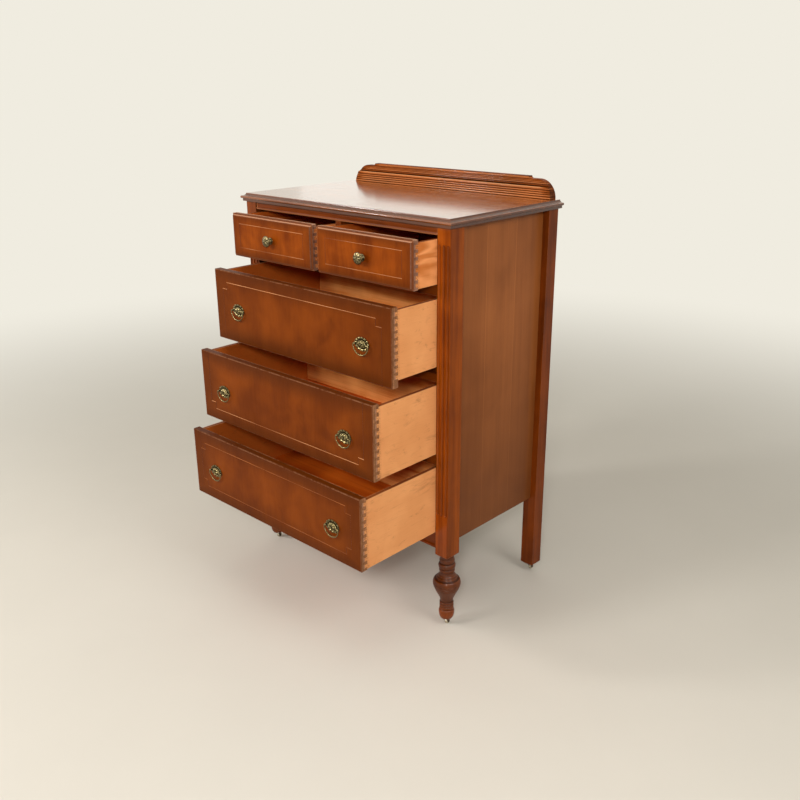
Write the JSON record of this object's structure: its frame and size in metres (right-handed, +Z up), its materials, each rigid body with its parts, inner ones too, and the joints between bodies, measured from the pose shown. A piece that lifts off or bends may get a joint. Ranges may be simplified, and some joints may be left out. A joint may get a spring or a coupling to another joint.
{
  "type": "highboy chest of drawers",
  "caption": "Tall wooden chest of drawers on turned legs and castors, with small drawers over wide ones, brass pulls and a reeded gallery on its top.",
  "frame": {"origin": "on the floor, under the middle of the box round the chest with its drawers drawn out as in the picture", "axes": "+X to the right across the front as seen from the front, +Y from the front to the back, +Z up"},
  "size_m": [0.877, 0.7984, 1.2784],
  "materials": {
    "top_wood": "polished lacquer on red-brown hardwood",
    "case_wood": "satin lacquer on red-brown hardwood",
    "side_veneer": "satin lacquer on straight-grained veneer",
    "front_veneer": "satin lacquer on orange-brown veneer",
    "small_front_veneer": "satin lacquer on orange veneer",
    "drawer_lining": "bare pale hardwood",
    "plywood": "thin stained plywood",
    "aged_brass": "dulled antique brass",
    "castor_iron": "dark worn iron",
    "castor_steel": "worn steel"
  },
  "bodies": {
    "case": {"top_board": "top_wood", "gallery": "top_wood", "front_post_left": "case_wood", "front_post_right": "case_wood", "rear_post_left": "case_wood", "rear_post_right": "case_wood", "side_panel_left": "side_veneer", "side_panel_right": "side_veneer", "back_panel": "plywood", "top_rail": "case_wood", "upper_frame": "case_wood", "middle_frame": "case_wood", "lower_frame": "case_wood", "bottom_frame": "case_wood", "drawer_divider": "case_wood"},
    "small_drawer_left": {"small_drawer_left_front": "small_front_veneer", "small_drawer_left_box": "drawer_lining", "small_drawer_left_bottom": "plywood", "small_drawer_left_knob": "aged_brass"},
    "small_drawer_right": {"small_drawer_right_front": "small_front_veneer", "small_drawer_right_box": "drawer_lining", "small_drawer_right_bottom": "plywood", "small_drawer_right_knob": "aged_brass"},
    "upper_drawer": {"upper_drawer_front": "front_veneer", "upper_drawer_side_left": "drawer_lining", "upper_drawer_side_right": "drawer_lining", "upper_drawer_back": "drawer_lining", "upper_drawer_bottom": "plywood", "upper_drawer_rosette_left": "aged_brass", "upper_drawer_rosette_right": "aged_brass"},
    "middle_drawer": {"middle_drawer_front": "front_veneer", "middle_drawer_side_left": "drawer_lining", "middle_drawer_side_right": "drawer_lining", "middle_drawer_back": "drawer_lining", "middle_drawer_bottom": "plywood", "middle_drawer_rosette_left": "aged_brass", "middle_drawer_rosette_right": "aged_brass"},
    "lower_drawer": {"lower_drawer_front": "front_veneer", "lower_drawer_side_left": "drawer_lining", "lower_drawer_side_right": "drawer_lining", "lower_drawer_back": "drawer_lining", "lower_drawer_bottom": "plywood", "lower_drawer_rosette_left": "aged_brass", "lower_drawer_rosette_right": "aged_brass"},
    "upper_bail_left": {"upper_drawer_bail_left": "aged_brass"},
    "upper_bail_right": {"upper_drawer_bail_right": "aged_brass"},
    "middle_bail_left": {"middle_drawer_bail_left": "aged_brass"},
    "middle_bail_right": {"middle_drawer_bail_right": "aged_brass"},
    "lower_bail_left": {"lower_drawer_bail_left": "aged_brass"},
    "lower_bail_right": {"lower_drawer_bail_right": "aged_brass"},
    "castor_front_left": {"castor_horn_front_left": "castor_iron"},
    "castor_front_right": {"castor_horn_front_right": "castor_iron"},
    "castor_rear_left": {"castor_horn_rear_left": "castor_iron"},
    "castor_rear_right": {"castor_horn_rear_right": "castor_iron"},
    "wheel_front_left": {"castor_wheel_front_left": "castor_steel"},
    "wheel_front_right": {"castor_wheel_front_right": "castor_steel"},
    "wheel_rear_left": {"castor_wheel_rear_left": "castor_steel"},
    "wheel_rear_right": {"castor_wheel_rear_right": "castor_steel"}
  },
  "joints": [
    {"name": "small_left_slide", "type": "slide", "parent": "case", "child": "small_drawer_left", "axis": [0, -1, 0], "range_m": [-0.095, 0.255]},
    {"name": "small_right_slide", "type": "slide", "parent": "case", "child": "small_drawer_right", "axis": [0, -1, 0], "range_m": [-0.095, 0.255]},
    {"name": "upper_slide", "type": "slide", "parent": "case", "child": "upper_drawer", "axis": [0, -1, 0], "range_m": [-0.172, 0.178]},
    {"name": "middle_slide", "type": "slide", "parent": "case", "child": "middle_drawer", "axis": [0, -1, 0], "range_m": [-0.245, 0.105]},
    {"name": "lower_slide", "type": "slide", "parent": "case", "child": "lower_drawer", "axis": [0, -1, 0], "range_m": [-0.298, 0.052]},
    {"name": "upper_bail_left_swing", "type": "hinge", "parent": "upper_drawer", "child": "upper_bail_left", "pos_m": [-0.265, -0.2697, 0.8965], "axis": [-1, 0, 0], "range_deg": [0, 100]},
    {"name": "upper_bail_right_swing", "type": "hinge", "parent": "upper_drawer", "child": "upper_bail_right", "pos_m": [0.265, -0.2697, 0.8965], "axis": [-1, 0, 0], "range_deg": [0, 100]},
    {"name": "middle_bail_left_swing", "type": "hinge", "parent": "middle_drawer", "child": "middle_bail_left", "pos_m": [-0.265, -0.3427, 0.6565], "axis": [-1, 0, 0], "range_deg": [0, 100]},
    {"name": "middle_bail_right_swing", "type": "hinge", "parent": "middle_drawer", "child": "middle_bail_right", "pos_m": [0.265, -0.3427, 0.6565], "axis": [-1, 0, 0], "range_deg": [0, 100]},
    {"name": "lower_bail_left_swing", "type": "hinge", "parent": "lower_drawer", "child": "lower_bail_left", "pos_m": [-0.265, -0.3957, 0.4105], "axis": [-1, 0, 0], "range_deg": [0, 100]},
    {"name": "lower_bail_right_swing", "type": "hinge", "parent": "lower_drawer", "child": "lower_bail_right", "pos_m": [0.265, -0.3957, 0.4105], "axis": [-1, 0, 0], "range_deg": [0, 100]},
    {"name": "castor_front_left_swivel", "type": "hinge", "parent": "case", "child": "castor_front_left", "pos_m": [-0.397, -0.0639, 0], "axis": [0, 0, 1], "continuous": true},
    {"name": "castor_front_right_swivel", "type": "hinge", "parent": "case", "child": "castor_front_right", "pos_m": [0.397, -0.0639, 0], "axis": [0, 0, 1], "continuous": true},
    {"name": "castor_rear_left_swivel", "type": "hinge", "parent": "case", "child": "castor_rear_left", "pos_m": [-0.397, 0.3671, 0], "axis": [0, 0, 1], "continuous": true},
    {"name": "castor_rear_right_swivel", "type": "hinge", "parent": "case", "child": "castor_rear_right", "pos_m": [0.397, 0.3671, 0], "axis": [0, 0, 1], "continuous": true},
    {"name": "wheel_front_left_spin", "type": "hinge", "parent": "castor_front_left", "child": "wheel_front_left", "pos_m": [-0.397, -0.0594, 0.00886], "axis": [1, 0, 0], "continuous": true},
    {"name": "wheel_front_right_spin", "type": "hinge", "parent": "castor_front_right", "child": "wheel_front_right", "pos_m": [0.397, -0.0594, 0.00886], "axis": [1, 0, 0], "continuous": true},
    {"name": "wheel_rear_left_spin", "type": "hinge", "parent": "castor_rear_left", "child": "wheel_rear_left", "pos_m": [-0.397, 0.3716, 0.00886], "axis": [1, 0, 0], "continuous": true},
    {"name": "wheel_rear_right_spin", "type": "hinge", "parent": "castor_rear_right", "child": "wheel_rear_right", "pos_m": [0.397, 0.3716, 0.00886], "axis": [1, 0, 0], "continuous": true}
  ]
}
